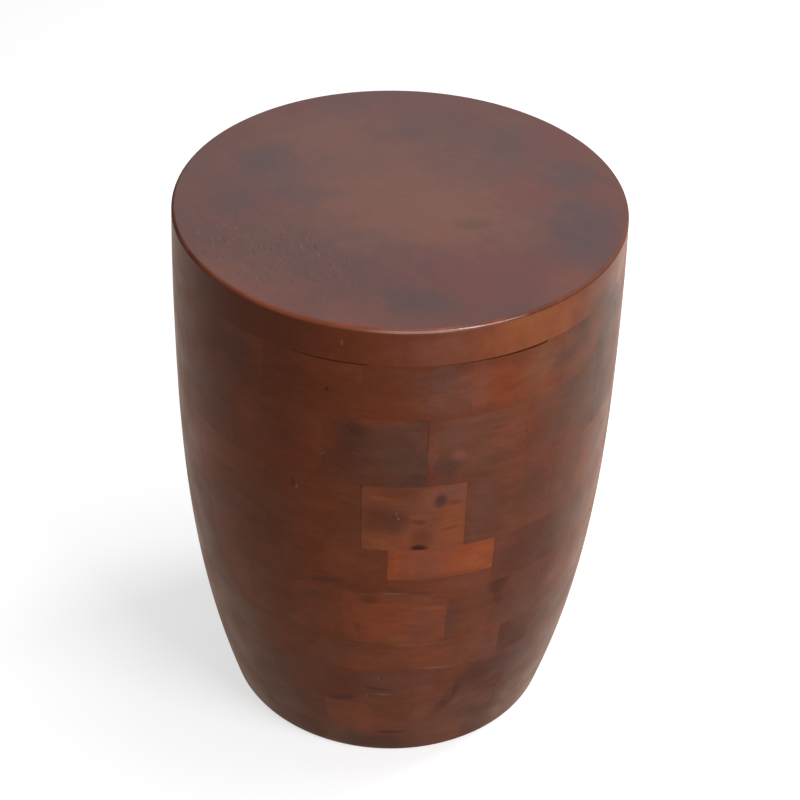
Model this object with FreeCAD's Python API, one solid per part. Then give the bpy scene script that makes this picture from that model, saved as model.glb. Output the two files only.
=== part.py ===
import FreeCAD, Part
import math
import os

# Drum side table: a hollow barrel of hardwood blocks under a solid wood top. The blocks are laid
# in courses like bricks, glued, and turned on a lathe as one piece with the top. A thin panel
# closes the bottom, and the drum stands on felt pads.
# The origin is at the centre of the floor area. +Z is up and -Y is the front. Angles are seen
# from above, in degrees: 0 is the front, and they grow to the right, towards +X.

os.makedirs("parts", exist_ok=True)

# ---- Turned outline, mm ----
table_height = 500.0            # from the floor to the tabletop
top_diameter = 380.0
widest_diameter = 383.6
base_diameter = 297.6
widest_below_top = 100.0        # from the tabletop down to the widest place
belly_power = 2.7               # a higher power keeps the side upright for longer
rim_round = 3.0                 # round-over of the tabletop's rim
base_round = 2.0                # round-over of the base's edge
outline_steps = 12              # spans of the curve, from the base to the tabletop
level_tolerance = 0.01          # for finding the edges that lie at one height

# ---- Courses of blocks, from the foot up ----
# The seventh and the eighth are alike, and share the height that the others leave.
foot_course_height = 30.0
second_course_height = 45.0
third_course_height = 50.0
fourth_course_height = 39.0
fifth_course_height = 61.0
sixth_course_height = 52.0
ninth_course_height = 52.0
lower_block_count = 13          # blocks in each course up to the sixth
upper_block_count = 14          # blocks in each course above it
wall_thickness = 38.0           # from a block's flat inner face to the turned side, at its thinnest
turning_waste = 6.0             # what the lathe takes off the rough blocks, at the least

# ---- Angle of one end joint in each course ----
foot_joint = 11.2
second_joint = 8.6
third_joint = -7.5
fourth_joint = 5.0
fifth_joint = -12.1
sixth_joint = -0.4
seventh_joint = -7.1
eighth_joint = 8.5
ninth_joint = -7.2
strip_height = 18.0             # strip under the first block of the sixth course

# ---- Top ----
top_thickness = 33.0
board_width = 74.5
board_angle = -47.0             # direction of the boards' grain, from the +X axis
board_shift = 10.0              # from the drum's axis to the nearest glue line
near_board_count = 3            # boards on the front left of that line
far_board_count = 2             # boards on the back right of it
dowel_diameter = 10.0
dowel_depth = 20.0              # a dowel's length in the ninth course
wood_over_dowel = 13.0          # from a dowel's end up to the tabletop
dowel_chamfer = 1.0
dowel_clearance = 0.1           # round a dowel in its hole
dowel_end_room = 0.5            # past each end of a dowel
blocks_per_dowel = 2

# ---- Bottom panel, screws and felt pads ----
panel_thickness = 12.0
panel_recess = 6.0              # from the foot course's lower face up to the panel
panel_seat_width = 14.0         # of the rabbet's shoulder, which the panel is screwed up to
panel_clearance = 0.5           # round the panel in its rabbet
screw_count = 6
wood_over_screw = 2.0           # from a screw's point up to the foot course's upper face
screw_diameter = 3.8
screw_head_diameter = 7.6
screw_point = 4.0
screw_clearance = 0.1           # round a screw's shank and head
cross_recess_width = 1.1
cross_recess_span = 4.2
cross_recess_depth = 1.4
pad_count = 6
pad_margin = 2.0                # from a pad to the rabbet, and to the base's round-over
pad_thickness = 2.0

# ---- Sizes that follow ----
top_underside = table_height - top_thickness
lower_course_heights = [
    foot_course_height, second_course_height, third_course_height,
    fourth_course_height, fifth_course_height, sixth_course_height,
]
height_left = top_underside - pad_thickness - sum(lower_course_heights) - ninth_course_height
course_heights = lower_course_heights + [height_left / 2, height_left / 2, ninth_course_height]
course_joints = [
    foot_joint, second_joint, third_joint,
    fourth_joint, fifth_joint, sixth_joint,
    seventh_joint, eighth_joint, ninth_joint,
]
lower_courses = len(lower_course_heights)
upper_courses = len(course_heights) - lower_courses
course_block_counts = lower_courses * [lower_block_count] + upper_courses * [upper_block_count]
sixth_course = lower_courses - 1    # courses are counted from 0, at the foot
ninth_course = len(course_heights) - 1

widest_level = table_height - widest_below_top
rough_radius = max(top_diameter, widest_diameter, base_diameter) / 2 + turning_waste
foot_inner_flat = base_diameter / 2 - wall_thickness
rabbet_radius = foot_inner_flat + panel_seat_width
panel_underside = pad_thickness + panel_recess
panel_top = panel_underside + panel_thickness
screw_circle = (foot_inner_flat + rabbet_radius) / 2
screw_length = pad_thickness + foot_course_height - wood_over_screw - panel_underside
pad_outer_limit = base_diameter / 2 - base_round - pad_margin
pad_inner_limit = rabbet_radius + pad_margin
pad_radius = (pad_outer_limit - pad_inner_limit) / 2
pad_circle = (pad_outer_limit + pad_inner_limit) / 2
dowel_top = table_height - wood_over_dowel
dowel_foot = top_underside - dowel_depth

up = FreeCAD.Vector(0, 0, 1)
centre = FreeCAD.Vector(0, 0, 0)


def side_radius(level):
    """Outer radius of the turned side at a height above the floor."""
    if level < widest_level:
        fall = (widest_level - level) / (widest_level - pad_thickness)
        return (widest_diameter - (widest_diameter - base_diameter) * fall ** belly_power) / 2
    rise = (level - widest_level) / widest_below_top
    return (widest_diameter - (widest_diameter - top_diameter) * rise ** 2) / 2


def course_low(course):
    """Height of a course's lower face above the floor."""
    return pad_thickness + sum(course_heights[:course])


def inner_flat(course):
    """Distance from the drum's axis to the flat inner faces of a course's blocks."""
    low = course_low(course)
    return min(side_radius(low), side_radius(low + course_heights[course])) - wall_thickness


def place_round(solid, angle):
    """A copy of a solid that is made at the front, turned about the drum's axis."""
    turned = solid.copy()
    turned.rotate(centre, up, angle)
    return turned


def front_point(radius, level):
    return FreeCAD.Vector(0, -radius, level)


def edges_at_level(solid, level):
    """The level edges of a solid that lie at one height."""
    return [
        edge for edge in solid.Edges
        if abs(edge.BoundBox.ZMin - level) < level_tolerance
        and abs(edge.BoundBox.ZMax - level) < level_tolerance
    ]


def turned_drum():
    """The whole outer form as one solid of revolution, rounded at the rim and the base."""
    span = (table_height - pad_thickness) / outline_steps
    levels = [pad_thickness + step * span for step in range(outline_steps + 1)]
    outline = Part.BSplineCurve()
    outline.interpolate([front_point(side_radius(level), level) for level in levels])
    corners = [
        front_point(top_diameter / 2, table_height),
        front_point(0, table_height),
        front_point(0, pad_thickness),
        front_point(base_diameter / 2, pad_thickness),
    ]
    section = Part.Wire([outline.toShape()] + Part.makePolygon(corners).Edges)
    drum = Part.Face(section).revolve(centre, up, 360)
    drum = drum.makeFillet(rim_round, edges_at_level(drum, table_height))
    return drum.makeFillet(base_round, edges_at_level(drum, pad_thickness))


def rough_block(course):
    """A sawn block at the front: flat inside, with both ends mitred to meet its neighbours."""
    slope = math.tan(math.pi / course_block_counts[course])
    low = course_low(course)
    near = inner_flat(course)
    corners = [
        FreeCAD.Vector(-near * slope, -near, low),
        FreeCAD.Vector(-rough_radius * slope, -rough_radius, low),
        FreeCAD.Vector(rough_radius * slope, -rough_radius, low),
        FreeCAD.Vector(near * slope, -near, low),
    ]
    outline = Part.makePolygon(corners + corners[:1])
    return Part.Face(outline).extrude(FreeCAD.Vector(0, 0, course_heights[course]))


def block_angles(course):
    """The angles of the middles of a course's blocks, round from the course's end joint."""
    pitch = 360 / course_block_counts[course]
    return [
        course_joints[course] + (number + 0.5) * pitch
        for number in range(course_block_counts[course])
    ]


def course_blocks(course, drum):
    """The blocks of one course, turned outside and laid round."""
    block = rough_block(course).common(drum).Solids[0]
    return [place_round(block, angle) for angle in block_angles(course)]


def cut_from_all(solids, tools):
    """Cut the same holes out of each solid that they reach."""
    holes = Part.Compound(tools)
    return [solid.cut(holes).Solids[0] for solid in solids]


def with_strip(block, course):
    """A block made up of two pieces: the block itself and a thin strip under it."""
    size = 2 * rough_radius
    corner = FreeCAD.Vector(-rough_radius, -rough_radius, course_low(course))
    lower_part = Part.makeBox(size, size, strip_height, corner)
    return [block.cut(lower_part).Solids[0], block.common(lower_part).Solids[0]]


def upright_peg(radius, low, high):
    """A round peg at the front, in the middle of the ninth course's wall."""
    return Part.makeCylinder(radius, high - low, front_point(dowel_circle, low), up)


def top_boards(drum, holes):
    """The boards of the top, from the front left to the back right, cut round as one disc."""
    disc = Part.makeCylinder(rough_radius, top_thickness, FreeCAD.Vector(0, 0, top_underside))
    disc = disc.common(drum).cut(Part.Compound(holes)).Solids[0]
    flat_radius = top_diameter / 2 - rim_round
    glue_lines = [
        board_shift + number * board_width
        for number in range(1 - near_board_count, far_board_count)
    ]
    sides = [line for line in glue_lines if abs(line) < flat_radius]
    sides = [-rough_radius] + sides + [rough_radius]
    boards = []
    for near, far in zip(sides, sides[1:]):
        corner = FreeCAD.Vector(-rough_radius, near, top_underside)
        plank = Part.makeBox(2 * rough_radius, far - near, top_thickness, corner)
        plank.rotate(centre, up, board_angle)
        boards.append(disc.common(plank).Solids[0])
    return boards


def screw_form(clearance, point):
    """A countersunk screw's form at the front, head down, or its hole with a clearance round it."""
    low = panel_underside
    high = low + screw_length
    head_radius = screw_head_diameter / 2 + clearance
    shank_radius = screw_diameter / 2 + clearance
    corners = [
        front_point(0, low),
        front_point(head_radius, low),
        front_point(shank_radius, low + head_radius - shank_radius),
        front_point(shank_radius, high - point),
        front_point(0, high),
    ]
    section = Part.Face(Part.makePolygon(corners + corners[:1]))
    form = section.revolve(centre, up, 360)
    form.translate(front_point(screw_circle, 0))
    return form


def screw():
    """The screw with a cross recess in its head."""
    slot = Part.makeBox(
        cross_recess_span, cross_recess_width, cross_recess_depth,
        FreeCAD.Vector(-cross_recess_span / 2, -cross_recess_width / 2, panel_underside),
    )
    cross = Part.Compound([slot, place_round(slot, 90)])
    cross.translate(front_point(screw_circle, 0))
    return screw_form(0, screw_point).cut(cross).Solids[0]


def save(name, solids):
    shape = solids[0] if len(solids) == 1 else Part.Compound(solids)
    shape.exportStep("parts/" + name + ".step")


drum = turned_drum()
courses = [course_blocks(course, drum) for course in range(len(course_heights))]

# The sixth course's first block is a thinner one, which stands on a strip.
courses[sixth_course][0], strip = with_strip(courses[sixth_course][0], sixth_course)

# Dowels stand in the middle of every second block of the ninth course and reach up into the top.
dowel_circle = (inner_flat(ninth_course) + side_radius(top_underside)) / 2
dowel_angles = block_angles(ninth_course)[::blocks_per_dowel]
dowel = upright_peg(dowel_diameter / 2, dowel_foot, dowel_top)
dowel = dowel.makeChamfer(dowel_chamfer, [edge for edge in dowel.Edges if edge.Closed])
dowel_hole = upright_peg(
    dowel_diameter / 2 + dowel_clearance, dowel_foot - dowel_end_room, dowel_top + dowel_end_room)
dowel_holes = [place_round(dowel_hole, angle) for angle in dowel_angles]
courses[ninth_course] = cut_from_all(courses[ninth_course], dowel_holes)

# The foot course takes the bottom panel in a rabbet, and its screws.
screw_angles = [number * 360 / screw_count for number in range(screw_count)]
screw_holes = [place_round(screw_form(screw_clearance, 0), angle) for angle in screw_angles]
rabbet = Part.makeCylinder(
    rabbet_radius, panel_top - pad_thickness, FreeCAD.Vector(0, 0, pad_thickness))
courses[0] = cut_from_all(cut_from_all(courses[0], [rabbet]), screw_holes)
panel = Part.makeCylinder(
    rabbet_radius - panel_clearance, panel_thickness, FreeCAD.Vector(0, 0, panel_underside))

pad = Part.makeCylinder(pad_radius, pad_thickness, front_point(pad_circle, 0))
pad_angles = [(number + 0.5) * 360 / pad_count for number in range(pad_count)]

for number, blocks in enumerate(courses, start=1):
    save("course_" + str(number) + "_blocks", blocks)
save("course_6_strip", [strip])
for number, board in enumerate(top_boards(drum, dowel_holes), start=1):
    save("top_board_" + str(number), [board])
save("top_dowels", [place_round(dowel, angle) for angle in dowel_angles])
save("bottom_panel", cut_from_all([panel], screw_holes))
save("panel_screws", [place_round(screw(), angle) for angle in screw_angles])
save("felt_pads", [place_round(pad, angle) for angle in pad_angles])
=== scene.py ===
import math
import random

import bmesh
import bpy
from mathutils import Matrix, Vector


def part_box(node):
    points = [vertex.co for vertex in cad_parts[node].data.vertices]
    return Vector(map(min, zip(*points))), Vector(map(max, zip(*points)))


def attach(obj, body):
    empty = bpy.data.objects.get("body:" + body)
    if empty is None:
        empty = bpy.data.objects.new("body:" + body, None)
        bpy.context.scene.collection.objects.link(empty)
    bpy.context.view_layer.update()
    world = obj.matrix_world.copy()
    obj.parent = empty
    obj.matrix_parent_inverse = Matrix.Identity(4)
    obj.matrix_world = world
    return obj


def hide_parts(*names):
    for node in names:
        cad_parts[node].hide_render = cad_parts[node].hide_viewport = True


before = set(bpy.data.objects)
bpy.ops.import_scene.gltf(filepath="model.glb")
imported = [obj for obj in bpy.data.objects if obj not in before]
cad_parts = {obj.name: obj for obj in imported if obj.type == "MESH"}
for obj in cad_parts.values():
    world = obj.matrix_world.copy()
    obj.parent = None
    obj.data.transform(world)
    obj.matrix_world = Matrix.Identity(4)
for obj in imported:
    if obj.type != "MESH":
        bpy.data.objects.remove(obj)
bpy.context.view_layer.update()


# ==== Camera ====
# It stands in front of the drum, looks down on it and is rolled a little.
camera_place = (0.00474, -1.4886, 1.4102)
camera_pitch = math.radians(53.071)     # up from straight down
camera_roll = math.radians(1.791)
camera_lens = 93.91

camera_data = bpy.data.cameras.new("camera")
camera_data.lens = camera_lens
camera = bpy.data.objects.new("camera", camera_data)
camera.matrix_world = (
    Matrix.Translation(camera_place)
    @ Matrix.Rotation(camera_pitch, 4, "X")
    @ Matrix.Rotation(camera_roll, 4, "Z")
)
bpy.context.scene.collection.objects.link(camera)
bpy.context.scene.camera = camera


# ==== Studio ====
# A pale floor in a pale room. One soft box hangs overhead, a stronger one stands at the right
# in front, and a small one lights the floor at the right.
floor_size = 12.0
floor_grey = 0.50
floor_glow = 0.62           # what the camera and reflections see on top of the lit floor
floor_reflected = (1.0, 0.88, 0.72)
room_light = 0.34
room_white = 1.0
white = (1.0, 1.0, 1.0)

bpy.context.scene.view_settings.view_transform = "Standard"


def add_node(tree, kind, inputs=(), **settings):
    """A node with its settings and its unlinked inputs filled in. A socket is linked instead."""
    node = tree.nodes.new(kind)
    for name, value in settings.items():
        setattr(node, name, value)
    for name, value in dict(inputs).items():
        if isinstance(value, bpy.types.NodeSocket):
            tree.links.new(value, node.inputs[name])
        else:
            node.inputs[name].default_value = value
    return node


def calculate(tree, operation, *terms):
    """The result of a sum on some levels or plain numbers."""
    return add_node(tree, "ShaderNodeMath", dict(enumerate(terms)), operation=operation).outputs[0]


def ramp(tree, value, start, end, least=0.0, most=1.0, curve="LINEAR"):
    """A level that goes from least to most while a value goes from start to end."""
    return add_node(
        tree, "ShaderNodeMapRange",
        {"Value": value, "From Min": start, "From Max": end, "To Min": least, "To Max": most},
        interpolation_type=curve).outputs["Result"]


def mix_colours(tree, share, first, second):
    """A share of the second colour in the first. A plain colour is red, green and blue."""
    first, second = (
        (*colour, 1.0) if isinstance(colour, tuple) else colour for colour in (first, second))
    return add_node(
        tree, "ShaderNodeMix", {"Factor": share, "A": first, "B": second},
        data_type="RGBA").outputs["Result"]


def bare_tree(owner):
    """The emptied node tree of a new world or material."""
    owner.use_nodes = True
    owner.node_tree.nodes.clear()
    return owner.node_tree


def seen_share(tree):
    """1 for rays from the camera and for reflected and refracted rays, and 0 for light."""
    path = add_node(tree, "ShaderNodeLightPath").outputs
    seen = calculate(tree, "MAXIMUM", path["Is Camera Ray"], path["Is Glossy Ray"])
    return calculate(tree, "MAXIMUM", seen, path["Is Transmission Ray"])


room = bpy.data.worlds.new("room")
room_tree = bare_tree(room)
room_level = ramp(room_tree, seen_share(room_tree), 0.0, 1.0, room_light, room_white)
room_surface = add_node(
    room_tree, "ShaderNodeBackground", {"Color": (*white, 1.0), "Strength": room_level})
add_node(room_tree, "ShaderNodeOutputWorld", {"Surface": room_surface.outputs[0]})
bpy.context.scene.world = room

floor_mesh = bmesh.new()
bmesh.ops.create_grid(floor_mesh, x_segments=1, y_segments=1, size=floor_size / 2)
floor = bpy.data.objects.new("floor", bpy.data.meshes.new("floor"))
floor_mesh.to_mesh(floor.data)
floor_mesh.free()
floor_paint = bpy.data.materials.new("floor")
floor_tree = bare_tree(floor_paint)
floor_matt = add_node(
    floor_tree, "ShaderNodeBsdfDiffuse", {"Color": (floor_grey, floor_grey, floor_grey, 1.0)})
floor_light = calculate(floor_tree, "MULTIPLY", seen_share(floor_tree), floor_glow)
from_camera = add_node(floor_tree, "ShaderNodeLightPath").outputs["Is Camera Ray"]
floor_tint = mix_colours(floor_tree, from_camera, floor_reflected, white)
floor_white = add_node(
    floor_tree, "ShaderNodeEmission", {"Color": floor_tint, "Strength": floor_light})
floor_sum = add_node(
    floor_tree, "ShaderNodeAddShader", {0: floor_matt.outputs[0], 1: floor_white.outputs[0]})
add_node(floor_tree, "ShaderNodeOutputMaterial", {"Surface": floor_sum.outputs[0]})
floor.data.materials.append(floor_paint)
bpy.context.scene.collection.objects.link(floor)


def soft_box(name, place, aim, size, power):
    """A square studio light that faces a point."""
    lamp = bpy.data.lights.new(name, "AREA")
    lamp.shape = "SQUARE"
    lamp.size = size
    lamp.energy = power
    light = bpy.data.objects.new(name, lamp)
    light.location = place
    light.rotation_euler = (Vector(aim) - Vector(place)).to_track_quat("-Z", "Y").to_euler()
    bpy.context.scene.collection.objects.link(light)


soft_box("overhead_box", (0.33, 0.05, 2.2), (0.0, 0.0, 0.4), 0.75, 15.0)
soft_box("right_box", (1.35, -1.25, 1.25), (0.0, 0.0, 0.25), 1.0, 34.0)
soft_box("floor_box", (1.30, 0.75, 0.95), (0.75, 0.40, 0.0), 0.6, 20.0)


# ==== Foot course ====
# Thirteen short blocks of hardwood, mitred at the ends and glued in a ring, then turned outside
# with the rest of the drum and rounded at the base. A rabbet inside takes the bottom panel, and
# its shoulder has the holes for the panel's screws.
table_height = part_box("top_board_1")[1].z
drum_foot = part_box("course_1_blocks")[0].z
top_radius = 0.1900
widest_radius = 0.1918
base_radius = 0.1488
widest_level = table_height - 0.100
belly_power = 2.7
wall_thickness = 0.038
base_round = 0.001
base_round_steps = 4
joint_bevel = 0.00007           # each block's edges are eased this much by sanding
corner_angle = 0.7              # edges that bend more than this, in radians, are corners
crease_angle = math.radians(20)
side_slack = 0.0003             # a point this near to the turned side is taken to lie on it
level_slack = 0.0001            # and so is one this near to a height or to an inner face
rows_per_block = 5
steps_per_block = 16
hole_sides = 24
centre = (0.0, 0.0, 0.0)
lower_count = 13
lower_pitch = math.tau / lower_count
foot_joint = math.radians(11.2)
panel_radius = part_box("bottom_panel")[1].x
panel_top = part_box("bottom_panel")[1].z
panel_clearance = 0.0005
screw_count = 6
screw_radius = 0.0019
screw_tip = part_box("panel_screws")[1].z
hole_clearance = 0.0001
chance = random.Random(4)

# Stains, from the stock brown to what the wood's figure makes of it. At the right edge the
# greyer ones, such as clay, tan and moss, also paint part of the lacquer's sheen.
russet = (0.118, 0.028, 0.011)
chestnut = (0.148, 0.036, 0.014)
ember = (0.195, 0.044, 0.016)
amber = (0.240, 0.090, 0.030)
rose = (0.180, 0.062, 0.042)
tan = (0.160, 0.070, 0.036)
clay = (0.112, 0.042, 0.026)
olive = (0.120, 0.047, 0.014)
moss = (0.092, 0.031, 0.017)
umber = (0.082, 0.020, 0.009)
wine = (0.052, 0.006, 0.002)
smoke = (0.055, 0.023, 0.013)
ink = (0.034, 0.017, 0.019)
stock_stains = [russet, russet, russet, chestnut, umber, moss]
front_share = 0.25              # blocks whose middle faces the front at least so far are stock brown
far_stains = [ink, umber, wine, ember, rose, amber]
far_stain_count = 7
stain_reach = 0.030             # how far a stain reaches into the wood and out of it
lacquer_gloss = 0.08
lacquer_tint = (1.0, 0.8, 0.7, 1.0)


def side_radius(level):
    """Outer radius of the turned side at a height above the floor."""
    if level < widest_level:
        fall = (widest_level - level) / (widest_level - drum_foot)
        return widest_radius - (widest_radius - base_radius) * fall ** belly_power
    rise = (level - widest_level) / (table_height - widest_level)
    return widest_radius - (widest_radius - top_radius) * rise ** 2


def levels_of(node):
    """The lower and the upper height of a course."""
    return tuple(corner.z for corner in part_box(node))


def inner_flat(low, high):
    """Distance from the drum's axis to the flat inner faces of the blocks between two heights."""
    return min(side_radius(low), side_radius(high)) - wall_thickness


def lies_outside(edge):
    """Whether an edge lies on the turned side."""
    return all(
        math.hypot(vert.co.x, vert.co.y) > side_radius(vert.co.z) - side_slack
        for vert in edge.verts)


def turn_block(low, high, flat, pitch, inner_side=None):
    """A block at the front: turned outside, mitred at both ends, and flat inside if not rabbeted."""
    block = bmesh.new()
    levels = [low + (high - low) * row / rows_per_block for row in range(rows_per_block + 1)]
    section = [(side_radius(level), level) for level in levels]
    section += inner_side or [(flat, high), (flat, low)]
    corners = [block.verts.new((0.0, -radius, level)) for radius, level in section]
    ring = block.faces.new(corners)
    bmesh.ops.rotate(block, verts=corners, cent=centre, matrix=Matrix.Rotation(-pitch / 2, 3, "Z"))
    bmesh.ops.spin(
        block, geom=[ring], cent=centre, axis=(0.0, 0.0, 1.0), angle=pitch, steps=steps_per_block)
    bmesh.ops.recalc_face_normals(block, faces=block.faces)
    for vert in block.verts:
        radius = math.hypot(vert.co.x, vert.co.y)
        if radius < flat + level_slack:
            turn = math.atan2(vert.co.x, -vert.co.y)
            vert.co.x /= math.cos(turn)
            vert.co.y /= math.cos(turn)
    return block


def ease_edges(block):
    """Break the sharp edges of a block's turned face."""
    outside = [
        edge for edge in block.edges
        if lies_outside(edge) and edge.calc_face_angle(0) > corner_angle]
    bmesh.ops.bevel(
        block, geom=outside, offset=joint_bevel, offset_type="OFFSET", affect="EDGES",
        segments=1, profile=0.5, material=-1)


def round_base(block):
    """Round the outer edge that the foot course stands on."""
    lowest = [
        edge for edge in block.edges
        if lies_outside(edge) and all(vert.co.z < drum_foot + level_slack for vert in edge.verts)]
    bmesh.ops.bevel(
        block, geom=lowest, offset=base_round, offset_type="OFFSET", affect="EDGES",
        segments=base_round_steps, profile=0.5, material=-1)


def bore(block, angle, distance, radius, low, high):
    """The same block with a round upright hole."""
    place = Matrix.Translation(
        (distance * math.sin(angle), -distance * math.cos(angle), (low + high) / 2))
    bit = bmesh.new()
    bmesh.ops.create_cone(
        bit, cap_ends=True, segments=hole_sides, radius1=radius, radius2=radius, depth=high - low,
        matrix=place)
    items = []
    for name, shape in (("wood", block), ("bit", bit)):
        item = bpy.data.objects.new(name, bpy.data.meshes.new(name))
        shape.to_mesh(item.data)
        shape.free()
        bpy.context.scene.collection.objects.link(item)
        items.append(item)
    boring = items[0].modifiers.new("boring", "BOOLEAN")
    boring.operation = "DIFFERENCE"
    boring.object = items[1]
    bored = bmesh.new()
    bored.from_object(items[0], bpy.context.evaluated_depsgraph_get())
    for item in items:
        bpy.data.meshes.remove(item.data)
    return bored


def course_start():
    """An empty course, in which every point can carry its stretch of grain and its block's stain."""
    course = bmesh.new()
    course.verts.layers.float_vector.new("grain_place")
    course.verts.layers.float_color.new("stain")
    course.verts.layers.float.new("block_number")
    return course


def add_block(course, block, number, angle, tone):
    """Turn a block to its angle and put it in a course, with its own stain and stretch of grain."""
    mesh = bpy.data.meshes.new("block")
    block.to_mesh(mesh)
    block.free()
    first = len(course.verts)
    course.from_mesh(mesh)
    bpy.data.meshes.remove(mesh)
    course.verts.ensure_lookup_table()
    verts = course.verts[first:]
    place = course.verts.layers.float_vector["grain_place"]
    stain = course.verts.layers.float_color["stain"]
    count = course.verts.layers.float["block_number"]
    shift = Vector([chance.uniform(-3.0, 3.0) for axis in range(3)])
    shade = chance.uniform(0.97, 1.03)
    for vert in verts:
        vert[place] = vert.co + shift
        vert[stain] = [part * shade for part in tone] + [1.0]
        vert[count] = number
    bmesh.ops.rotate(course, verts=verts, cent=centre, matrix=Matrix.Rotation(angle, 3, "Z"))


def block_tone(number, angle, tones=None):
    """A block's stain: its own one, or stock brown at the front, or any of the stock elsewhere."""
    other = chance.choice(stock_stains)
    return (tones or {}).get(number, russet if math.cos(angle) > front_share else other)


def finish_course(course, name, node, material):
    """Make a piece of a course, which stands for its plain node."""
    mesh = bpy.data.meshes.new(name)
    course.to_mesh(mesh)
    course.free()
    mesh.shade_smooth()
    mesh.set_sharp_from_angle(angle=crease_angle)
    piece = bpy.data.objects.new(name, mesh)
    bpy.context.scene.collection.objects.link(piece)
    piece.data.materials.append(material)
    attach(piece, "root")
    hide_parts(node)


def patch(angle, level, width, height, tone, strength, soft=0.6, tilt=0.0, block=None, ragged=1.6):
    """A patch on the turned side, mostly a stain, and in places a painted highlight or sheen. Its
    angle from the front and its tilt are in degrees, its height and two sizes in mm. It may be
    kept to one block."""
    turn = math.radians(angle)
    radius = side_radius(level / 1000)
    return {
        "middle": (radius * math.sin(turn), -radius * math.cos(turn), level / 1000),
        "turn": (0.0, math.radians(tilt), turn),
        "half_size": (width / 2000, stain_reach, height / 2000),
        "tone": tone, "strength": strength, "soft": soft, "block": block, "ragged": ragged,
    }


def far_patches(low, high):
    """Stains round the sides and the back of a course."""
    patches = []
    for number in range(far_stain_count):
        tone = chance.choice(far_stains)
        patches.append(patch(
            chance.uniform(75.0, 285.0), chance.uniform(low, high) * 1000,
            chance.uniform(12.0, 70.0), chance.uniform(8.0, 40.0),
            tone, chance.uniform(0.2, 0.5), tilt=chance.uniform(-20.0, 20.0)))
    return patches


def times(tree, product, *factors):
    """Some factors multiplied together."""
    for factor in factors:
        product = calculate(tree, "MULTIPLY", product, factor)
    return product


def calculate_vector(tree, operation, *terms):
    """The same for places: the result is under Vector, and a length under Value."""
    return add_node(tree, "ShaderNodeVectorMath", dict(enumerate(terms)), operation=operation).outputs


def shaded(tree, colour, shade):
    """A colour made darker or paler by a factor."""
    return add_node(
        tree, "ShaderNodeVectorMath", {0: colour, "Scale": shade}, operation="SCALE").outputs[0]


def noise(tree, place, scale, detail, roughness=0.5, distortion=0.0):
    """Clouds from 0 to 1, under Fac, and in three colours under Color."""
    return add_node(
        tree, "ShaderNodeTexNoise",
        {"Vector": place, "Scale": scale, "Detail": detail, "Roughness": roughness,
         "Distortion": distortion}).outputs


def stretched(tree, place, scale):
    """A place scaled along each axis, so that a pattern on it is fine across and long along."""
    return add_node(tree, "ShaderNodeMapping", {"Vector": place, "Scale": scale}).outputs[0]


def slow_wander(tree, place):
    """A slow noise about 0 that makes the edges of the stains ragged."""
    clouds = noise(tree, place, 48.0, 4.0, 0.6)["Color"]
    return calculate_vector(tree, "SUBTRACT", clouds, (0.5, 0.5, 0.5))["Vector"]


def patch_share(tree, place, wander, spot):
    """How strong a patch is, from its full strength in the middle to 0 outside its soft edge."""
    inside = add_node(
        tree, "ShaderNodeMapping",
        {"Vector": place, "Location": spot["middle"], "Rotation": spot["turn"],
         "Scale": spot["half_size"]},
        vector_type="TEXTURE").outputs[0]
    ragged = calculate_vector(tree, "MULTIPLY_ADD", wander, 3 * (spot["ragged"],), inside)["Vector"]
    share = ramp(
        tree, calculate_vector(tree, "LENGTH", ragged)["Value"],
        1.0 + spot["soft"], 1.0 - spot["soft"], 0.0, spot["strength"], curve="SMOOTHSTEP")
    if spot["block"] is None:
        return share
    number = add_node(tree, "ShaderNodeAttribute", attribute_name="block_number").outputs["Fac"]
    return times(tree, share, calculate(tree, "COMPARE", number, spot["block"], 0.5))


def add_patches(tree, colour, place, patches):
    """Mix each patch into a colour, in the order of the list: stains, and some painted highlights and
    sheen.
    """
    wander = slow_wander(tree, place)
    for spot in patches:
        share = patch_share(tree, place, wander, spot)
        colour = mix_colours(tree, share, colour, spot["tone"])
    return colour


def streaks(tree, grain, scale, detail, least, most, distortion=0.0):
    """A factor between two levels that follows the grain."""
    fibres = noise(tree, stretched(tree, grain, scale), 1.0, detail, 0.6, distortion)["Fac"]
    return ramp(tree, fibres, 0.3, 0.7, least, most)


def blend_noise(tree, colour, place, scale, start, end, share, tone):
    """Mix a tone in where a noise is strong."""
    cloud = noise(tree, place, scale, 4.0, 0.55)["Fac"]
    return mix_colours(tree, ramp(tree, cloud, start, end, 0.0, share), colour, tone)


def bump(tree, height, strength, distance):
    """The fine relief of a surface."""
    return add_node(
        tree, "ShaderNodeBump",
        {"Height": height, "Strength": strength, "Distance": distance}).outputs[0]


def start_material(name):
    """A new material, its emptied node tree, and the place on the piece."""
    material = bpy.data.materials.new(name)
    tree = bare_tree(material)
    return material, tree, add_node(tree, "ShaderNodeTexCoord").outputs["Object"]


def add_surface(tree, looks):
    """End a material with the surface that it gives."""
    surface = add_node(tree, "ShaderNodeBsdfPrincipled", looks)
    add_node(tree, "ShaderNodeOutputMaterial", {"Surface": surface.outputs[0]})


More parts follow.
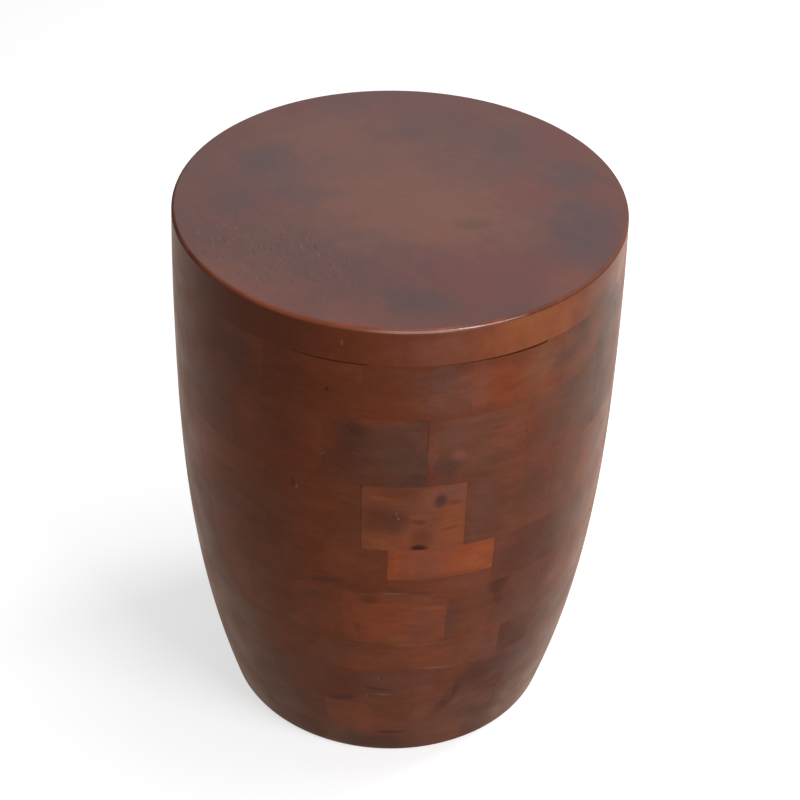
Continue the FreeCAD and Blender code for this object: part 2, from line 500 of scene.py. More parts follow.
def block_wood(name, patches):
    """Stained hardwood under a thin rubbed lacquer, with the patches of one course."""
    material, tree, place = start_material(name)
    grain = add_node(tree, "ShaderNodeAttribute", attribute_name="grain_place").outputs["Vector"]
    colour = add_node(tree, "ShaderNodeAttribute", attribute_name="stain").outputs["Color"]

    # The stain has soaked in unevenly, in clouds that cross the joints and in the blocks' figure.
    # Some patches paint light instead: pale highlights and glints, and part of the sheen at the right
    # edge.
    colour = add_patches(tree, colour, place, patches)
    colour = blend_noise(tree, colour, place, 13.0, 0.50, 0.72, 0.35, smoke)
    colour = blend_noise(tree, colour, place, 24.0, 0.50, 0.72, 0.30, clay)
    colour = blend_noise(tree, colour, grain, 21.0, 0.52, 0.74, 0.35, ember)
    figure = streaks(tree, grain, (14.0, 52.0, 52.0), 5.0, 0.87, 1.13, distortion=1.4)
    lines = streaks(tree, grain, (34.0, 460.0, 460.0), 2.0, 0.96, 1.04)
    mottle = streaks(tree, grain, (120.0, 150.0, 150.0), 3.0, 0.94, 1.06, distortion=0.8)
    pores = noise(tree, stretched(tree, grain, (110.0, 1500.0, 1500.0)), 1.0, 1.0)["Fac"]
    pore = ramp(tree, pores, 0.64, 0.76, 1.0, 0.80)
    rubbed = noise(tree, place, 30.0, 3.0)["Fac"]
    add_surface(tree, {
        "Base Color": shaded(tree, colour, times(tree, figure, mottle, lines, pore)),
        "Roughness": ramp(tree, rubbed, 0.3, 0.7, 0.34, 0.46),
        "Specular IOR Level": lacquer_gloss, "Specular Tint": lacquer_tint,
        "Normal": bump(tree, pore, 0.2, 0.0002)})
    return material


foot_low, foot_high = levels_of("course_1_blocks")
foot_flat = inner_flat(foot_low, foot_high)
rabbet_radius = panel_radius + panel_clearance
screw_circle = (foot_flat + rabbet_radius) / 2
rabbet_side = [
    (foot_flat, foot_high), (foot_flat, panel_top),
    (rabbet_radius, panel_top), (rabbet_radius, foot_low),
]
foot = course_start()
for number in range(lower_count):
    middle = foot_joint + (number + 0.5) * lower_pitch
    tone = block_tone(number, middle)
    block = turn_block(foot_low, foot_high, foot_flat, lower_pitch, rabbet_side)
    round_base(block)
    ease_edges(block)
    for screw in range(screw_count):
        aside = (screw * math.tau / screw_count - middle + math.pi) % math.tau - math.pi
        if abs(aside) < lower_pitch / 2:
            block = bore(
                block, aside, screw_circle, screw_radius + hole_clearance,
                panel_top - base_round, screw_tip)
    add_block(foot, block, number, middle, tone)
foot_patches = [
    patch(-42, 17, 50, 50, umber, 0.40),
    patch(-27, 17, 36, 50, wine, 0.55),
    patch(-16, 20, 26, 40, olive, 0.50),
    patch(-8, 29, 32, 9, chestnut, 0.60),
    patch(-1, 13, 58, 22, wine, 0.65),
    patch(-10, 14, 16, 30, umber, 0.50),
    patch(-6, 15, 44, 34, smoke, 0.35),
    patch(12, 17, 18, 40, rose, 0.15),
    patch(27, 13, 13, 10, ember, 0.40),
    patch(33, 17, 36, 40, wine, 0.70),
    patch(34.5, 24, 12, 30, wine, 0.50, tilt=-25),
    patch(44, 18, 26, 40, clay, 0.80),
    patch(41, 24, 12, 26, tan, 0.55, tilt=-35),
    # At the right edge this paler tone is partly stain and partly painted sheen of the lacquer.
    patch(56, 18, 30, 40, tan, 0.60),
    patch(2.5, 31.6, 24, 2.0, wine, 0.80, soft=0.5),
]
foot_wood = block_wood("foot_course_wood", foot_patches + far_patches(foot_low, foot_high))
finish_course(foot, "foot_course", "course_1_blocks", foot_wood)


# ==== Second course ====
# Thirteen blocks, glued on the foot course with their joints out of line, as in brickwork. The
# stain is thin on the front one. At the right, two dark streaks run on into the next course.
loden = (0.078, 0.034, 0.025)
walnut = (0.040, 0.007, 0.003)
left_streak = patch(19.3, 81, 13, 44, wine, 0.85, tilt=24, ragged=0.8)
right_streak = patch(35.5, 78, 14, 48, wine, 0.85, tilt=-36, ragged=0.8)


def lay_course(low, high, pitch, joint, tones=None, numbers=None):
    """The blocks of one course, from the one that starts at the given joint."""
    flat = inner_flat(low, high)
    course = course_start()
    for number in numbers or range(round(math.tau / pitch)):
        block = turn_block(low, high, flat, pitch)
        ease_edges(block)
        angle = joint + (number + 0.5) * pitch
        add_block(course, block, number, angle, block_tone(number, angle, tones))
    return course


def plain_course(name, node, pitch, joint, patches, tones=None):
    """A course of like blocks. Its first joint is given in degrees from the front."""
    low, high = levels_of(node)
    course = lay_course(low, high, pitch, math.radians(joint), tones)
    wood = block_wood(name + "_wood", patches + far_patches(low, high))
    finish_course(course, name, node, wood)


second_patches = [
    patch(-27, 52, 44, 60, umber, 0.50),
    patch(-46, 52, 40, 50, clay, 0.40),
    patch(-11, 55, 50, 60, ember, 0.42, block=12),
    patch(-6.5, 52, 12, 44, ember, 0.35),
    patch(11, 58, 16, 46, rose, 0.22),
    patch(22, 46, 34, 30, chestnut, 0.25),
    patch(22.5, 71, 9, 7, amber, 0.15),
    left_streak,
    patch(34, 58, 48, 60, wine, 0.80),
    patch(45, 54, 36, 60, loden, 0.70),
    # At the right edge this greyer tone is partly stain and partly painted sheen of the lacquer.
    patch(59, 54, 50, 60, clay, 0.90),
    right_streak,
    patch(36, 54, 70, 60, walnut, 0.45),
    patch(43, 44, 10, 34, tan, 0.40, tilt=-36),
    patch(2.5, 33.6, 24, 3.4, wine, 0.85, soft=0.5),
]
plain_course("second_course", "course_2_blocks", lower_pitch, 8.6, second_patches)


# ==== Third course ====
# Thirteen blocks of the same hardwood, glued on with their joints out of line again. A knot's
# edge shows along the middle of the front one, with a thin painted highlight and two painted glints.
heather = (0.118, 0.050, 0.040)
near_black = (0.012, 0.006, 0.005)
chalk = (0.42, 0.28, 0.21)

third_patches = [
    patch(-52, 100, 50, 56, tan, 0.60),
    patch(-13, 100, 60, 56, umber, 0.40),
    patch(-20, 110, 18, 30, clay, 0.40),
    patch(0, 112, 46, 30, heather, 0.25),
    patch(11, 104, 22, 44, rose, 0.20),
    patch(-13, 83, 24, 8, near_black, 0.40, tilt=-18),
    patch(-3, 101.5, 22, 3.4, near_black, 0.40, tilt=8),
    # Painted light: a thin pale highlight along the middle, and two short pale glints below and above
    # it.
    patch(-1.5, 93.5, 15, 2.0, chalk, 0.15),
    patch(-2.2, 117, 1.6, 4.5, chalk, 0.12),
    patch(-5.6, 90, 1.6, 3.6, chalk, 0.25),
    patch(-3, 82, 34, 12, chestnut, 0.40),
    patch(8, 94, 4, 5, umber, 0.40),
    left_streak,
    patch(33, 100, 60, 64, wine, 0.80),
    patch(45, 100, 34, 60, loden, 0.75),
    # At the right edge this greyer tone is partly stain and partly painted sheen of the lacquer.
    patch(59, 100, 50, 60, clay, 0.90),
    patch(31, 98, 100, 60, walnut, 0.42),
    right_streak,
]
plain_course("third_course", "course_3_blocks", lower_pitch, -7.5, third_patches)


# ==== Fourth course ====
# Thirteen lower blocks. The stain is rubbed thin at the right of the front ones, up to a block
# that took it nearly black.
fourth_patches = [
    patch(-56, 146, 80, 50, tan, 0.70),
    patch(-36, 146, 50, 50, ember, 0.35),
    patch(-24, 148, 18, 40, olive, 0.40),
    patch(-16, 148, 20, 40, clay, 0.25),
    patch(-7, 140, 28, 22, ember, 0.35),
    patch(5, 146, 44, 44, chestnut, 0.60),
    patch(10, 150, 28, 40, ember, 0.50),
    patch(4, 164, 26, 4, amber, 0.35),
    patch(13, 163, 30, 3.5, amber, 0.18),
    patch(17, 138, 36, 22, ember, 0.45),
    patch(24, 148, 40, 44, umber, 0.35, block=0),
    # Painted highlight: a thin pale line along the lower seam.
    patch(14.5, 129, 32, 2.4, chalk, 0.14, tilt=7),
    patch(39, 144, 60, 60, wine, 0.85, block=1),
    # At the right edge this greyer tone is partly stain and partly painted sheen of the lacquer.
    patch(58, 146, 76, 60, clay, 0.90),
    patch(54, 146, 66, 60, smoke, 0.40),
    patch(41, 146, 60, 50, walnut, 0.22),
]
plain_course("fourth_course", "course_4_blocks", lower_pitch, 5.0, fourth_patches)


# ==== Fifth course ====
# Thirteen tall blocks. The front one has a lively fine figure, and a mineral streak darkens
# the start of its right neighbour.
fifth_patches = [
    patch(-60, 197, 60, 70, olive, 0.60),
    patch(-42, 197, 60, 76, ember, 0.45),
    patch(-20, 202, 26, 50, moss, 0.40),
    patch(-24, 175, 22, 16, olive, 0.50),
    patch(1, 195, 92, 90, ember, 0.70),
    patch(9, 196, 36, 66, rose, 0.20, block=0),
    patch(9, 210, 28, 5, amber, 0.25, tilt=6, block=0),
    patch(4, 172, 26, 12, amber, 0.18, block=0),
    patch(-5, 221, 12, 10, umber, 0.60),
    patch(-8, 184, 4.5, 11, umber, 0.45),
    patch(9, 223, 22, 6, rose, 0.40),
    patch(6, 189, 22, 3.4, umber, 0.30, tilt=10),
    patch(26, 196, 90, 110, russet, 1.00, block=1),
    patch(17, 196, 16, 44, umber, 0.60, block=1),
    patch(17, 196, 12, 40, loden, 0.45, block=1),
    patch(20, 178, 24, 12, olive, 0.35, block=1),
    patch(25, 205, 22, 44, clay, 0.20, block=1),
    patch(39, 196, 70, 80, umber, 0.90),
    # At the right edge these greyer tones are partly stain and partly painted sheen of the lacquer.
    patch(58, 197, 60, 90, moss, 0.60),
    patch(70, 197, 26, 90, tan, 0.55),
    patch(48, 197, 44, 90, walnut, 0.22),
    patch(29.5, 221, 18, 20, walnut, 0.75),
    patch(30.5, 204, 9, 22, wine, 0.60, tilt=-10),
]
plain_course("fifth_course", "course_5_blocks", lower_pitch, -12.1, fifth_patches)


# ==== Sixth course ====
# Thirteen blocks. The first one is thinner and the brightest of all, and stands on a strip that
# makes up its height. A thin pale line of painted highlight runs along the seam under the strip.
flame = (0.265, 0.058, 0.018)
sixth_low, sixth_high = levels_of("course_6_blocks")
strip_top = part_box("course_6_strip")[1].z
sixth_flat = inner_flat(sixth_low, sixth_high)
sixth_joint = math.radians(-0.4)
strip_middle = sixth_joint + lower_pitch / 2
# Painted highlight: a thin pale line along the seam under the strip.
strip_seam_highlight = patch(1.5, 228.4, 24, 2.4, chalk, 0.16)

sixth = lay_course(sixth_low, sixth_high, lower_pitch, sixth_joint, numbers=range(1, lower_count))
short_block = turn_block(strip_top, sixth_high, sixth_flat, lower_pitch)
ease_edges(short_block)
add_block(sixth, short_block, 0, strip_middle, ember)
sixth_patches = [
    patch(-46, 255, 60, 60, ember, 0.30),
    patch(-26, 255, 28, 34, clay, 0.25),
    patch(-12, 263, 36, 24, chestnut, 0.50),
    patch(-5, 262, 14, 34, ember, 0.20),
    patch(-17, 236, 34, 7, near_black, 0.35, tilt=-12),
    patch(-8, 233, 44, 11, umber, 0.45),
    patch(9, 262, 40, 44, rose, 0.30, block=0),
    patch(20, 262, 38, 36, flame, 0.28, block=0),
    patch(22, 258, 22, 12, amber, 0.15, block=0),
    patch(1.6, 264, 7, 44, flame, 0.30, block=0),
    patch(15, 247, 60, 5, umber, 0.25, block=0),
    strip_seam_highlight,
    patch(38, 254, 70, 80, umber, 0.85, block=1),
    patch(30, 264, 24, 36, clay, 0.35, block=1),
    patch(42, 266, 30, 26, moss, 0.40, block=1),
    patch(44, 250, 50, 70, umber, 0.60),
    # At the right edge the greyer clay and tan are partly stain and partly painted sheen of the
    # lacquer.
    patch(60, 254, 80, 80, clay, 0.90),
    patch(53, 254, 60, 80, smoke, 0.45),
    patch(70, 254, 26, 80, tan, 0.65),
    patch(40, 254, 70, 80, walnut, 0.38, block=1),
    patch(45, 233, 18, 12, walnut, 0.60),
]
sixth_wood = block_wood("sixth_course_wood", sixth_patches + far_patches(sixth_low, sixth_high))
finish_course(sixth, "sixth_course", "course_6_blocks", sixth_wood)

strip = course_start()
strip_block = turn_block(sixth_low, strip_top, sixth_flat, lower_pitch)
ease_edges(strip_block)
add_block(strip, strip_block, 0, strip_middle, russet)
strip_patches = [
    strip_seam_highlight,
    patch(8, 237, 30, 18, chestnut, 0.50),
    patch(20, 237, 34, 18, rose, 0.20),
]
finish_course(
    strip, "sixth_course_strip", "course_6_strip", block_wood("sixth_strip_wood", strip_patches))


# ==== Seventh course ====
# From here on the drum is wider, and fourteen blocks go round. The front one is pale and full
# of knots. A hole at its lower edge is only painted, as a dark spot of painted shade.
coral = (0.168, 0.047, 0.023)
bark = (0.205, 0.056, 0.016)
upper_count = 14
upper_pitch = math.tau / upper_count

seventh_patches = [
    patch(-60, 313, 90, 80, ember, 0.60),
    patch(-40, 313, 40, 70, chestnut, 0.40),
    patch(-12, 318, 24, 60, chestnut, 0.25),
    patch(-20, 298, 36, 28, umber, 0.25),
    patch(-24.8, 335, 5, 7, near_black, 0.35, soft=0.5),
    patch(-23.8, 332.5, 2.2, 3, chalk, 0.20),
    patch(-7.25, 312, 0.8, 80, near_black, 0.45, ragged=0.2),
    patch(0, 345, 60, 16, umber, 0.45, block=0),
    patch(-4, 287, 32, 20, bark, 0.50, block=0),
    patch(3, 286, 16, 12, ember, 0.50, block=0),
    patch(-1.5, 334.5, 26, 6, ember, 0.60, tilt=2, block=0),
    patch(15, 337, 24, 20, heather, 0.50, block=0),
    patch(15, 303, 22, 44, bark, 0.50, block=0),
    patch(11, 335, 36, 22, rose, 0.35, block=0),
    patch(14.5, 301, 16, 3, umber, 0.40, tilt=-8, block=0),
    patch(-2, 312, 34, 28, umber, 0.60, block=0),
    patch(2.2, 309, 18, 17, smoke, 0.50, block=0),
    patch(12.2, 331, 9, 14, ink, 0.75, tilt=10, ragged=1.0),
    patch(15, 327, 12, 6, umber, 0.40, block=0),
    patch(6.8, 316, 11, 6, rose, 0.40, block=0),
    patch(7.0, 309.5, 10, 5, umber, 0.65, soft=0.5, tilt=8, block=0),
    patch(7.6, 291, 18, 20, umber, 0.50, block=0),
    # Painted shade: a dark spot stands for the hole at the lower edge, which is not cut.
    patch(7.5, 281.5, 15, 6.5, walnut, 0.90, soft=0.5),
    patch(7.5, 280.5, 11, 4, near_black, 0.50, soft=0.5),
    patch(-2.5, 334.8, 20, 3.2, amber, 0.45, tilt=2, block=0, ragged=0.8),
    patch(-2, 281.5, 28, 2.4, amber, 0.25, block=0, ragged=0.8),
    patch(-7.2, 346, 2.4, 2.4, near_black, 0.60, ragged=0.3),
    patch(1.4, 319, 1.4, 2.4, chalk, 0.22, soft=0.5),
    patch(2.0, 314, 1.6, 2.2, chalk, 0.34, soft=0.5),
    patch(26, 313, 60, 100, moss, 0.65, block=1),
    patch(22.5, 318, 24, 60, heather, 0.40, block=1),
    patch(34, 330, 34, 30, russet, 0.25),
    patch(42, 310, 50, 90, umber, 0.85),
    # At the right edge the greyer clay and tan are partly stain and partly painted sheen of the
    # lacquer.
    patch(60, 313, 80, 90, clay, 0.90),
    patch(51, 313, 40, 90, smoke, 0.35),
    patch(70, 313, 26, 90, tan, 0.50),
    patch(39, 313, 40, 80, smoke, 0.30),
]
plain_course(
    "seventh_course", "course_7_blocks", upper_pitch, -7.1, seventh_patches, tones={0: coral})


# ==== Eighth course ====
# Fourteen blocks. The front one took the stain dark and greenish, with a burn at its upper left,
# and its right neighbour is cut across the grain, so that the figure runs up to the right.
lichen = (0.055, 0.032, 0.024)

eighth_patches = [
    patch(-36, 380, 40, 80, ember, 0.25),
    patch(-50, 380, 40, 80, umber, 0.40),
    patch(1, 376, 74, 110, moss, 1.00, soft=0.4, block=13),
    patch(4, 380, 44, 80, loden, 0.70, block=13),
    patch(-10.5, 388, 30, 60, ink, 0.40),
    patch(-11, 370, 26, 50, wine, 0.20),
    patch(-9, 405, 18, 22, near_black, 0.25),
    patch(-15, 362, 26, 26, umber, 0.60),
    patch(-2, 412, 40, 8, chestnut, 0.55, block=13),
    patch(5, 352, 30, 12, ink, 0.30),
    patch(-3, 354, 40, 16, umber, 0.45, block=13),
    patch(-16.8, 374, 5, 1.8, chalk, 0.11, tilt=-40),
    patch(-10.8, 400, 1.8, 2.2, chalk, 0.07),
    patch(-9.0, 380, 1.8, 2.2, chalk, 0.07),
    patch(8.3, 398, 1.2, 24, near_black, 0.35, ragged=0.2),
    patch(19, 382, 84, 90, clay, 0.75, block=0),
    patch(14, 360, 44, 34, loden, 0.50, block=0),
    patch(9.5, 362, 12, 30, umber, 0.40, block=0),
    patch(9.8, 384, 8, 44, rose, 0.30, block=0),
    patch(16, 409, 32, 8, rose, 0.25, block=0),
    patch(14, 397, 20, 22, heather, 0.40, block=0),
    patch(16.2, 377, 14, 11, rose, 0.60, tilt=25, block=0),
    patch(28, 386, 28, 16, ember, 0.20, tilt=6, block=0),
    patch(26, 397, 14, 3.6, umber, 0.50, block=0),
    patch(13, 364, 20, 17, ink, 0.25, block=0),
    patch(25, 363, 50, 15, moss, 0.75, tilt=-12, block=0),
    patch(21, 351, 44, 10, umber, 0.35, block=0),
    patch(43, 396, 50, 44, moss, 0.60),
    patch(42, 370, 50, 60, umber, 0.65),
    # At the right edge this greyish tone is partly stain and partly painted sheen of the lacquer.
    patch(60, 380, 96, 90, lichen, 0.85),
    patch(52, 384, 46, 80, smoke, 0.40),
]
plain_course("eighth_course", "course_8_blocks", upper_pitch, 8.5, eighth_patches)


# ==== Ninth course ====
# Fourteen blocks under the top. Every second one is bored for a dowel. The joint with the top
# has opened at the outside in two places.
ninth_low, ninth_high = levels_of("course_9_blocks")
ninth_flat = inner_flat(ninth_low, ninth_high)
ninth_joint = math.radians(-7.2)
dowel_radius = 0.005
dowel_circle = (ninth_flat + side_radius(ninth_high)) / 2
dowel_end_room = 0.0005
blocks_per_dowel = 2
open_joints = (
    # from, widest from, to (degrees from the front), and the gap
    (-30.0, -16.0, -7.1, 0.0012),
    (10.0, 34.0, 38.6, 0.0022),
)
open_depth = 0.0002             # only points this near to the joint are lowered,
open_reach = 0.0005             # and only this near to the side

ninth = course_start()
for number in range(upper_count):
    angle = ninth_joint + (number + 0.5) * upper_pitch
    block = turn_block(ninth_low, ninth_high, ninth_flat, upper_pitch)
    ease_edges(block)
    if number % blocks_per_dowel == 0:
        block = bore(
            block, 0.0, dowel_circle, dowel_radius + hole_clearance,
            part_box("top_dowels")[0].z - dowel_end_room, ninth_high + dowel_end_room)
    add_block(ninth, block, number, angle, block_tone(number, angle))
for vert in ninth.verts:
    radius = math.hypot(vert.co.x, vert.co.y)
    angle = math.degrees(math.atan2(vert.co.x, -vert.co.y))
    if vert.co.z > ninth_high - open_depth and radius > side_radius(ninth_high) - open_reach:
        for start, full, end, gap in open_joints:
            if start < angle < end:
                vert.co.z -= gap * min(1.0, (angle - start) / (full - start))
ninth_patches = [
    patch(-32, 440, 90, 60, umber, 0.35),
    patch(-46, 440, 60, 60, umber, 0.40),
    patch(-26, 447, 30, 8, umber, 0.35, tilt=-15),
    patch(-16, 439, 2.8, 3.4, near_black, 0.70, soft=0.5),
    patch(11, 440, 44, 60, clay, 0.65),
    patch(12.5, 440, 34, 46, heather, 0.50),
    patch(12, 453, 24, 14, ink, 0.18),
    patch(26, 440, 44, 44, ember, 0.40),
    patch(20, 442, 24, 50, rose, 0.40),
    patch(38, 446, 34, 36, tan, 0.45),
    patch(30, 437, 20, 12, wine, 0.15),
    # At the right edge this greyish tone is partly stain and partly painted sheen of the lacquer.
    patch(60, 440, 100, 90, lichen, 0.90),
    patch(52, 436, 46, 80, smoke, 0.45),
]
ninth_wood = block_wood("ninth_course_wood", ninth_patches + far_patches(ninth_low, ninth_high))
finish_course(ninth, "ninth_course", "course_9_blocks", ninth_wood)


# ==== Top ====
# Five boards of the same wood, glued edge to edge, turned round with the drum and stained over
# the joints. The flat has a fuller coat of lacquer than the side, with open pores at the left.
# The rim is rubbed through to the orange wood at the left and in front.
board_count = 5
board_turn = math.radians(47.0)         # the grain runs from the back left to the front right
board_width = 0.0745
board_shift = (0.43, 0.27, 0.81)        # each board's own stretch of grain
first_glue_line = -0.139                # its distance from the drum's axis, across the grain
rim_round = 0.003
# Heights on the round-over between which the dark line sets in, turns paler, and loses its polish
dark_from = (table_height - 0.0036, table_height - 0.0024)
paler_from = (table_height - 0.0020, table_height - 0.0012)
polish_ends = (table_height - 0.0013, table_height - 0.0007)
pore_turn = math.radians(22.0)          # the pores are cut aslant to the boards
flat_lacquer = 0.31
worn_dullness = 0.35
zone_reach = 0.006                      # how far a stain of the flat reaches down
cocoa = (0.075, 0.015, 0.009)
toffee = (0.116, 0.034, 0.017)
slate = (0.042, 0.015, 0.017)
night = (0.028, 0.011, 0.013)
bronze = (0.062, 0.020, 0.012)
garnet = (0.086, 0.010, 0.008)
copper = (0.205, 0.060, 0.021)
brick = (0.225, 0.062, 0.031)
# Pale tone of the painted glints on the open-pored flat
fleck_glint_tone = (0.260, 0.130, 0.080)


def zone(x, y, wide, deep, tone, strength, soft=0.6, turn=0.0, ragged=1.6):
    """A stain on the flat of the top. Places and sizes are in mm."""
    return {
        "middle": (x / 1000, y / 1000, table_height), "turn": (0.0, 0.0, math.radians(turn)),
        "half_size": (wide / 2000, deep / 2000, zone_reach),
        "tone": tone, "strength": strength, "soft": soft, "block": None, "ragged": ragged,
    }


def step_up(tree, value, start, end):
    """0 at the start and 1 at the end, and smooth between."""
    return ramp(tree, value, start, end, curve="SMOOTHSTEP")


def left_of(tree, share):
    """What a share leaves of 1."""
    return calculate(tree, "SUBTRACT", 1.0, share)


def turned(tree, place, turn):
    """A place turned about the drum's axis."""
    return add_node(
        tree, "ShaderNodeMapping", {"Vector": place, "Rotation": (0.0, 0.0, turn)}).outputs[0]


def dress(node, material):
    """Give a plain node of the frame its material."""
    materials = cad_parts[node].data.materials
    materials.clear()
    materials.append(material)


def top_wood(flat_patches, rim_patches, open_pored, polished, rubbed_through):
    """Stained wood, lacquered on the flat, with a worn and partly polished rim."""
    material, tree, place = start_material("top_wood")
    along = turned(tree, place, board_turn)
    across = add_node(tree, "ShaderNodeSeparateXYZ", {0: along}).outputs["Y"]
    width = calculate(tree, "SUBTRACT", across, first_glue_line)
    board = calculate(tree, "FLOOR", calculate(tree, "DIVIDE", width, board_width))
    grain = calculate_vector(tree, "MULTIPLY_ADD", board, board_shift, along)["Vector"]
    level = add_node(tree, "ShaderNodeSeparateXYZ", {0: place}).outputs["Z"]
    flat_place = calculate_vector(tree, "MULTIPLY", place, (1.0, 1.0, 0.0))["Vector"]
    radius = calculate_vector(tree, "LENGTH", flat_place)["Value"]
    above = step_up(tree, level, table_height - rim_round, table_height - rim_round / 2)
    beyond = step_up(tree, radius, top_radius - rim_round, top_radius - rim_round / 2)
    wander = slow_wander(tree, place)

    flat = blend_noise(tree, cocoa, place, 10.0, 0.50, 0.72, 0.45, slate)
    flat = blend_noise(tree, flat, place, 21.0, 0.50, 0.72, 0.50, garnet)
    flat = blend_noise(tree, flat, grain, 12.0, 0.50, 0.74, 0.30, toffee)
    flat = blend_noise(tree, flat, place, 37.0, 0.52, 0.74, 0.35, slate)
    flat = add_patches(tree, flat, place, flat_patches)
    side = blend_noise(tree, russet, place, 13.0, 0.50, 0.72, 0.35, smoke)
    side = add_patches(tree, side, place, rim_patches)
    colour = mix_colours(tree, above, side, flat)

    # The round-over is dark below and paler above, and rubbed through at the left and in front.
    edge = times(tree, step_up(tree, level, *dark_from), beyond)
    edge_tone = mix_colours(tree, step_up(tree, level, *paler_from), umber, clay)
    rubbing = patch_share(tree, place, wander, rubbed_through)
    edge_tone = mix_colours(tree, rubbing, edge_tone, brick)
    uneven = streaks(tree, place, (14.0, 14.0, 14.0), 3.0, 0.45, 1.0)
    colour = mix_colours(tree, times(tree, edge, uneven), colour, edge_tone)

    figure = streaks(tree, grain, (7.0, 55.0, 55.0), 4.0, 0.92, 1.08, distortion=0.5)
    lines = streaks(tree, grain, (22.0, 620.0, 620.0), 2.0, 0.95, 1.05)
    mottle = streaks(tree, grain, (90.0, 110.0, 110.0), 3.0, 0.95, 1.05, distortion=0.8)

    # The open pores, which the lacquer hasn't filled, and pale flecks between them, which are
    # painted glints of the figured wood catching light
    across_pores = stretched(tree, turned(tree, grain, pore_turn), (110.0, 520.0, 520.0))
    pores = noise(tree, across_pores, 1.0, 2.0, distortion=0.8)["Fac"]
    bare = times(tree, patch_share(tree, place, wander, open_pored), left_of(tree, beyond), above)
    unfilled = left_of(tree, times(tree, step_up(tree, pores, 0.56, 0.68), bare))
    fleck_glint = times(tree, step_up(tree, pores, 0.36, 0.27), bare)
    colour = mix_colours(tree, times(tree, fleck_glint, 0.5), colour, fleck_glint_tone)

    # The worn round-over is dull, but for its polished part in front. The flat is lacquered.
    rubbed = noise(tree, place, 24.0, 3.0)["Fac"]
    gloss = ramp(tree, rubbed, 0.3, 0.7, 0.34, 0.44)
    polish_shares = [patch_share(tree, place, wander, spot) for spot in polished]
    polish = times(tree, edge, calculate(tree, "ADD", *polish_shares))
    worn = times(tree, edge, left_of(tree, polish))
    polish = times(tree, polish, left_of(tree, step_up(tree, level, *polish_ends)))
    lacquered = times(tree, above, left_of(tree, beyond))
    dips = bump(tree, unfilled, 0.35, 0.0003)
    add_surface(tree, {
        "Base Color": shaded(tree, colour, times(tree, figure, mottle, lines, unfilled)),
        "Roughness": calculate(tree, "MULTIPLY_ADD", worn, worn_dullness, gloss),
        "Specular IOR Level": lacquer_gloss, "Specular Tint": lacquer_tint,
        "Coat Weight": calculate(tree, "MULTIPLY_ADD", lacquered, flat_lacquer, polish),
        "Coat Roughness": 0.18, "Coat IOR": 2.2, "Normal": dips, "Coat Normal": dips})
    return material


top_patches = [
    zone(15, 5, 190, 150, toffee, 0.70),
    zone(30, -40, 130, 90, toffee, 0.40),
    zone(-60, 98, 110, 90, toffee, 0.55),
    zone(-66, 30, 70, 50, toffee, 0.30),
    zone(64, 115, 110, 60, bronze, 0.50),
    zone(105, 75, 70, 70, bronze, 0.45),
    zone(100, 15, 50, 80, garnet, 0.45),
    zone(141, 48, 44, 50, slate, 0.65),
    zone(152, -46, 60, 100, slate, 0.85),
    zone(103, 102, 56, 56, slate, 0.55),
    zone(-119, 56, 40, 56, slate, 0.75, turn=-30),
    zone(-137, -8, 34, 56, slate, 0.60),
    zone(-100, 22, 36, 50, slate, 0.35),
    zone(-80, 4, 44, 36, slate, 0.45),
    zone(13, -149, 56, 34, night, 0.60),
    zone(-9, -107, 100, 70, slate, 0.25),
    zone(-80, -75, 140, 80, bronze, 0.35),
    zone(-75, 55, 110, 50, slate, 0.22),
    zone(62, 55, 80, 60, slate, 0.25),
    zone(70, -105, 120, 80, garnet, 0.50),
    zone(128, 107, 60, 70, garnet, 0.50),
    zone(-98, 145, 60, 50, garnet, 0.45),
    zone(-5, 109, 40, 30, slate, 0.35),
    zone(60, -35, 28, 16, walnut, 0.50),
    zone(30, -52, 34, 22, russet, 0.60),
    zone(1, 5, 10, 8, umber, 0.50),
    patch(-42, 500, 110, 14, ember, 0.22),
    patch(-10, 500, 60, 12, ember, 0.20),
    patch(48, 500, 60, 14, ember, 0.20),
]
rim_patches = [
    patch(-38, 484, 160, 70, umber, 0.70),
    patch(22, 484, 80, 70, coral, 0.60),
    patch(9, 484, 66, 70, rose, 0.40),
    patch(36, 484, 80, 60, copper, 0.68),
    patch(33, 495, 40, 12, amber, 0.25),
    patch(56, 484, 30, 60, tan, 0.30),
    # At the right edge of the rim these greyer tones are partly stain and partly painted sheen of the
    # lacquer.
    patch(64, 484, 56, 60, clay, 0.60),
    patch(68, 484, 36, 60, heather, 0.50),
    patch(72, 484, 24, 60, tan, 0.75),
    patch(60, 470, 40, 20, lichen, 0.50),
    patch(6, 494, 60, 7, umber, 0.25),
    patch(-12.5, 484, 1.8, 5, chalk, 0.14),
]
open_pores = zone(-100, -86, 180, 90, walnut, 0.50, turn=-29)
rim_polish = [
    patch(14.5, 498, 112, 30, copper, 0.16, soft=0.2, ragged=0.2),
    patch(6.0, 498, 70, 30, copper, 0.84, soft=0.68, ragged=0.2),
]
rim_wear = zone(-65, -165, 300, 200, brick, 1.0, soft=0.3)
board_wood = top_wood(top_patches, rim_patches, open_pores, rim_polish, rim_wear)
for number in range(1, board_count + 1):
    dress("top_board_" + str(number), board_wood)


# ==== Dowels ====
# Seven bare beech dowels, glued into the ninth course and the top. They are hidden once the top
# is on.
beech = (0.52, 0.34, 0.20)
beech_ray = (0.40, 0.24, 0.13)


def dowel_wood():
    """Bare beech with its fine rays, which run upright."""
    material, tree, place = start_material("dowel_wood")
    rays = noise(tree, stretched(tree, place, (900.0, 900.0, 60.0)), 1.0, 3.0)["Fac"]
    flecks = step_up(tree, rays, 0.45, 0.7)
    add_surface(tree, {
        "Base Color": mix_colours(tree, flecks, beech, beech_ray), "Roughness": 0.7,
        "Normal": bump(tree, flecks, 0.3, 0.0002)})
    return material


dress("top_dowels", dowel_wood())


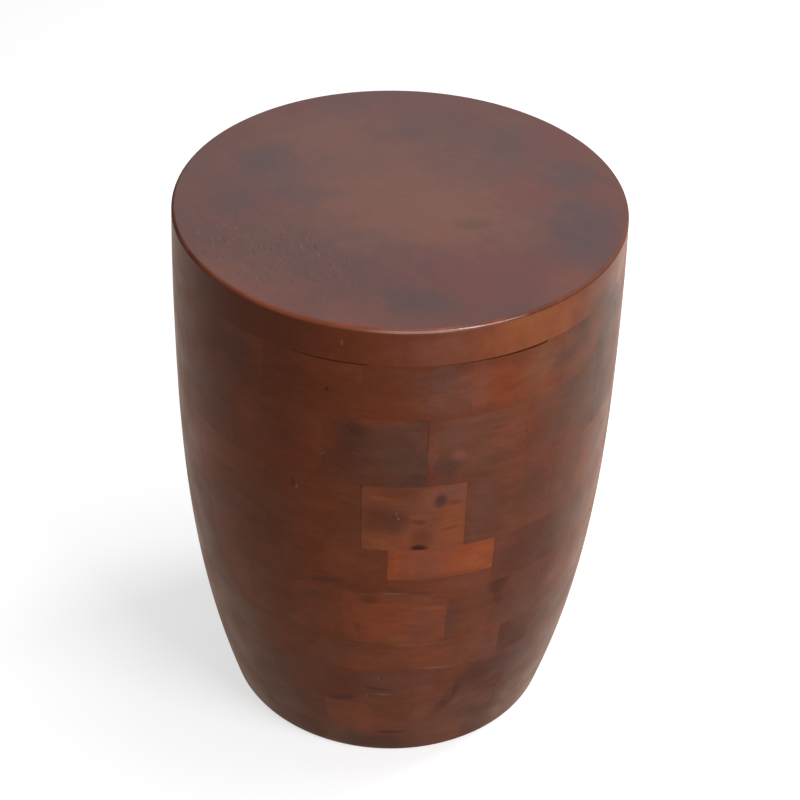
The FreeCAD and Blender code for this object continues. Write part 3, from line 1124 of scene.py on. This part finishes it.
# ==== Bottom panel ====
# A round of plywood with a dark stained face. It is let up into the foot course's rabbet from
# below and held by screws.
ply_dark = (0.046, 0.026, 0.020)
ply_light = (0.095, 0.056, 0.040)


def panel_wood():
    """Dark stained plywood with the broad figure of a peeled face and open grain."""
    material, tree, place = start_material("panel_wood")
    figure = noise(tree, stretched(tree, place, (5.0, 60.0, 60.0)), 1.0, 5.0, distortion=1.2)["Fac"]
    rings = step_up(tree, figure, 0.38, 0.62)
    shade = streaks(tree, place, (40.0, 1100.0, 1100.0), 2.0, 0.8, 1.15)
    add_surface(tree, {
        "Base Color": shaded(tree, mix_colours(tree, rings, ply_dark, ply_light), shade),
        "Roughness": streaks(tree, place, (30.0, 30.0, 30.0), 3.0, 0.50, 0.66),
        "Specular IOR Level": 0.3, "Normal": bump(tree, shade, 0.3, 0.0003)})
    return material


dress("bottom_panel", panel_wood())


# ==== Panel screws ====
# Six countersunk steel screws with cross recesses, zinc plated, which hold the panel up to the
# rabbet's shoulder.
zinc_pale = (0.62, 0.61, 0.58)
zinc_dark = (0.40, 0.39, 0.36)


def screw_steel():
    """Steel with a cloudy coat of zinc."""
    material, tree, place = start_material("screw_steel")
    cloud = step_up(tree, noise(tree, place, 700.0, 3.0)["Fac"], 0.35, 0.65)
    add_surface(tree, {
        "Base Color": mix_colours(tree, cloud, zinc_dark, zinc_pale), "Metallic": 1.0,
        "Roughness": streaks(tree, place, (400.0, 400.0, 400.0), 2.0, 0.28, 0.45)})
    return material


dress("panel_screws", screw_steel())


# ==== Felt pads ====
# Six round pads punched from dark wool felt, stuck under the foot course. Their punched edges
# are soft.
pad_count = 6
pad_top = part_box("felt_pads")[1].z
pad_radius = 0.009
pad_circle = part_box("felt_pads")[1].x - pad_radius
pad_sides = 40
pad_edge_round = 0.0005
pad_edge_steps = 3
felt_dark = (0.030, 0.025, 0.022)
felt_light = (0.070, 0.058, 0.050)


def pad_felt():
    """Matted wool fibres."""
    material, tree, place = start_material("pad_felt")
    fibres = noise(tree, place, 900.0, 4.0, distortion=2.0)["Fac"]
    add_surface(tree, {
        "Base Color": mix_colours(tree, fibres, felt_dark, felt_light), "Roughness": 0.95,
        "Specular IOR Level": 0.2, "Sheen Weight": 0.3, "Normal": bump(tree, fibres, 0.7, 0.0004)})
    return material


pads = bmesh.new()
for number in range(pad_count):
    angle = (number + 0.5) * math.tau / pad_count
    place = Matrix.Translation(
        (pad_circle * math.sin(angle), -pad_circle * math.cos(angle), pad_top / 2))
    bmesh.ops.create_cone(
        pads, cap_ends=True, segments=pad_sides, radius1=pad_radius, radius2=pad_radius,
        depth=pad_top, matrix=place)
rims = [edge for edge in pads.edges if edge.calc_face_angle(0) > corner_angle]
bmesh.ops.bevel(
    pads, geom=rims, offset=pad_edge_round, offset_type="OFFSET", affect="EDGES",
    segments=pad_edge_steps, profile=0.5, material=-1)
pads_mesh = bpy.data.meshes.new("felt_pads_soft")
pads.to_mesh(pads_mesh)
pads.free()
pads_mesh.shade_smooth()
soft_pads = bpy.data.objects.new("felt_pads_soft", pads_mesh)
bpy.context.scene.collection.objects.link(soft_pads)
soft_pads.data.materials.append(pad_felt())
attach(soft_pads, "root")
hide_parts("felt_pads")
